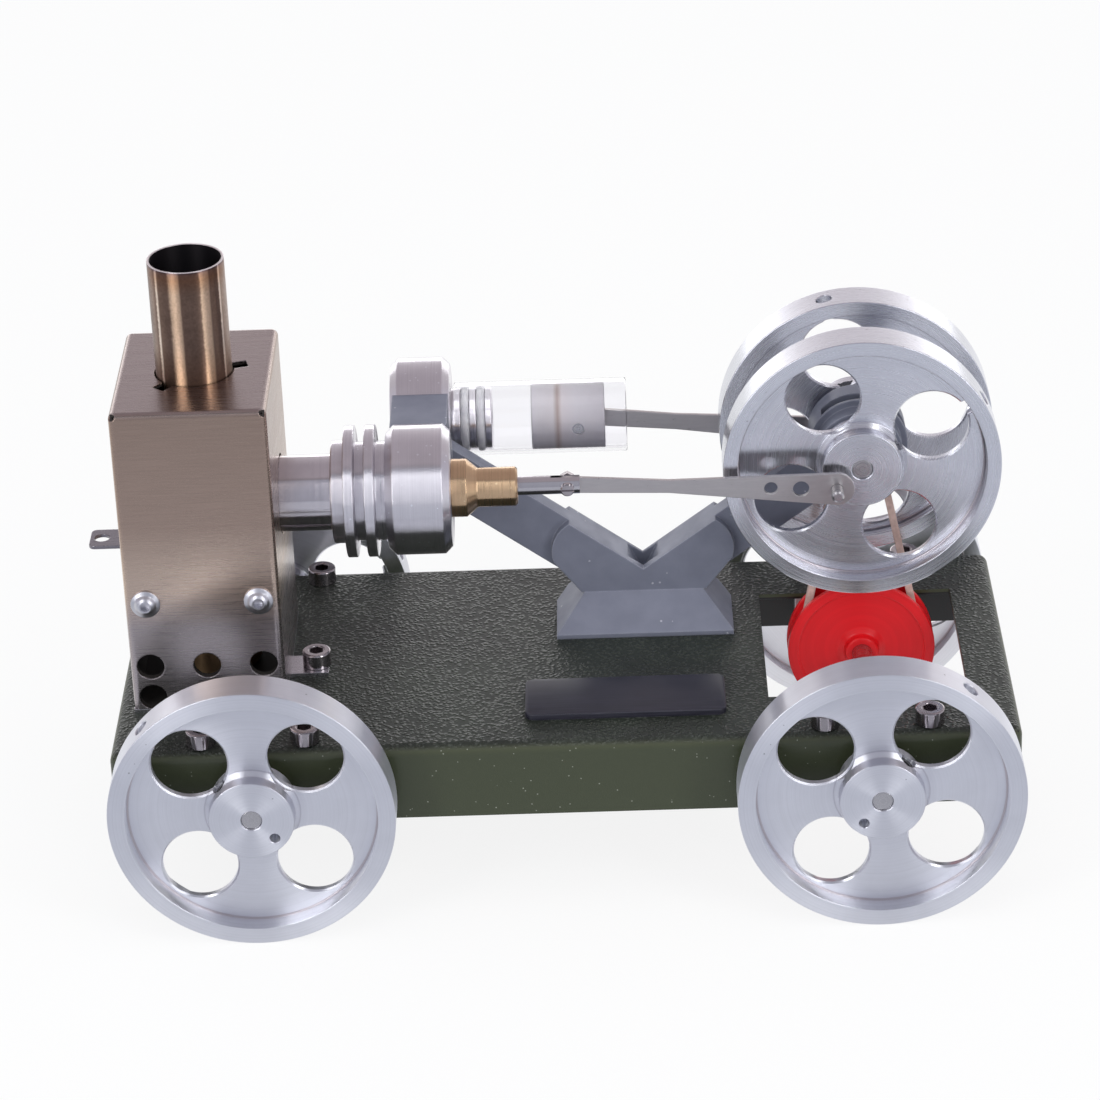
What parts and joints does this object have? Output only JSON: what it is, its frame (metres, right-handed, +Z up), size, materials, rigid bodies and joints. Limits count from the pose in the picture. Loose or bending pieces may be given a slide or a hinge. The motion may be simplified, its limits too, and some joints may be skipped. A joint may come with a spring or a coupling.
{
  "type": "stirling engine car",
  "caption": "Small hot-air engine on a four-wheeled sheet chassis: burner box with chimney, finned displacer cylinder, glass power cylinder, twin flywheels and a belt to the axle.",
  "frame": {"origin": "on the ground, under the middle of the object's box", "axes": "+X along the car towards the flywheels, +Y away from the name plate's side, +Z up"},
  "size_m": [0.2228, 0.118, 0.1532],
  "materials": {
    "turned_aluminium": "turned, satin",
    "plain_aluminium": "milled",
    "ground_steel": "ground",
    "brass": "turned, satin",
    "nickel_screws": "nickel plated",
    "dark_screws": "blackened",
    "wrinkle_paint": "dark olive wrinkle coat",
    "navy_plate": "satin",
    "grey_casting": "satin blue-grey casting",
    "rod_stainless": "satin",
    "polished_steel": "turned and polished",
    "gasket": "fibre",
    "frosted_piston": "fine ground",
    "clear_glass": "clear",
    "white_silicone": "translucent white",
    "tan_rubber": "matte",
    "red_plastic": "satin",
    "brushed_stainless": "brushed along its length",
    "bronzed_steel": "heat-tinted, dark bronze",
    "wick_cotton": "braided"
  },
  "bodies": {
    "chassis_and_engine": {"axle_block_screws": "nickel_screws", "axle_bushes": "brass", "burner_box_cover": "brushed_stainless", "burner_box_tray": "brushed_stainless", "burner_tank": "brass", "chassis": "wrinkle_paint", "chimney": "bronzed_steel", "cooler_flange": "polished_steel", "cover_screws": "nickel_screws", "crank_bearing_balls": "ground_steel", "crank_bearing_outer_rings": "ground_steel", "cylinder_grub_screws": "dark_screws", "drive_axle_far_block": "plain_aluminium", "drive_axle_near_block": "plain_aluminium", "drive_belt": "tan_rubber", "engine_frame": "grey_casting", "frame_base_screws": "nickel_screws", "free_axle_far_block": "plain_aluminium", "free_axle_near_block": "plain_aluminium", "glass_cylinder": "clear_glass", "glass_seal_rings": "white_silicone", "guide_bush": "brass", "hot_tube": "polished_steel", "hot_tube_gasket": "gasket", "name_plate": "navy_plate", "power_cylinder_head": "polished_steel", "tray_screw": "nickel_screws", "wick": "wick_cotton", "wick_holder": "brass"},
    "crankshaft": {"crankshaft": "ground_steel", "front_flywheel": "turned_aluminium", "rear_flywheel": "turned_aluminium", "flywheel_grub_screws": "dark_screws", "crank_pulley": "plain_aluminium", "crank_bearing_inner_rings": "ground_steel"},
    "drive_axle": {"drive_axle": "ground_steel", "drive_wheel_near": "turned_aluminium", "drive_wheel_far": "turned_aluminium", "drive_wheel_grub_screws": "dark_screws", "driven_pulley": "red_plastic", "drive_axle_spacers": "plain_aluminium"},
    "free_axle": {"free_axle": "ground_steel", "free_wheel_near": "turned_aluminium", "free_wheel_far": "turned_aluminium", "free_wheel_grub_screws": "dark_screws", "free_axle_spacers": "plain_aluminium"},
    "displacer": {"displacer": "rod_stainless", "displacer_shaft": "ground_steel", "clevis_screw": "nickel_screws", "clevis_nut": "nickel_screws"},
    "displacer_rod": {"displacer_rod": "rod_stainless", "displacer_crank_pin": "ground_steel"},
    "power_piston": {"power_piston": "frosted_piston", "wrist_pin": "ground_steel"},
    "power_rod": {"power_rod": "rod_stainless", "power_crank_pin": "ground_steel"},
    "damper": {"damper_slide": "brushed_stainless"}
  },
  "joints": [
    {"name": "crank_spin", "type": "hinge", "parent": "chassis_and_engine", "child": "crankshaft", "pos_m": [0.0768, 0.0194, 0.0905], "axis": [0, 1, 0], "continuous": true},
    {"name": "drive_axle_spin", "type": "hinge", "parent": "chassis_and_engine", "child": "drive_axle", "pos_m": [0.0774, 0, 0.034], "axis": [0, 1, 0], "continuous": true},
    {"name": "free_axle_spin", "type": "hinge", "parent": "chassis_and_engine", "child": "free_axle", "pos_m": [-0.071, 0, 0.034], "axis": [0, 1, 0], "continuous": true},
    {"name": "displacer_slide", "type": "slide", "parent": "chassis_and_engine", "child": "displacer", "axis": [1, 0, 0], "range_m": [-0.00096, 0.01344]},
    {"name": "displacer_rod_swing", "type": "hinge", "parent": "displacer", "child": "displacer_rod", "pos_m": [0.0054, 0, 0.0905], "axis": [0, 1, 0], "range_deg": [-9.37, 3.32]},
    {"name": "power_slide", "type": "slide", "parent": "chassis_and_engine", "child": "power_piston", "axis": [1, 0, 0], "range_m": [-0.00917, 0.00523]},
    {"name": "power_rod_swing", "type": "hinge", "parent": "power_piston", "child": "power_rod", "pos_m": [0.0082, 0.0388, 0.0905], "axis": [0, 1, 0], "range_deg": [-11.56, 0.15]},
    {"name": "damper_pull", "type": "slide", "parent": "chassis_and_engine", "child": "damper", "axis": [1, 0, 0], "range_m": [-0.012, 0]}
  ],
  "couplings": [
    {"joint": "drive_axle_spin", "follows": "crank_spin", "ratio": 0.27181}
  ]
}
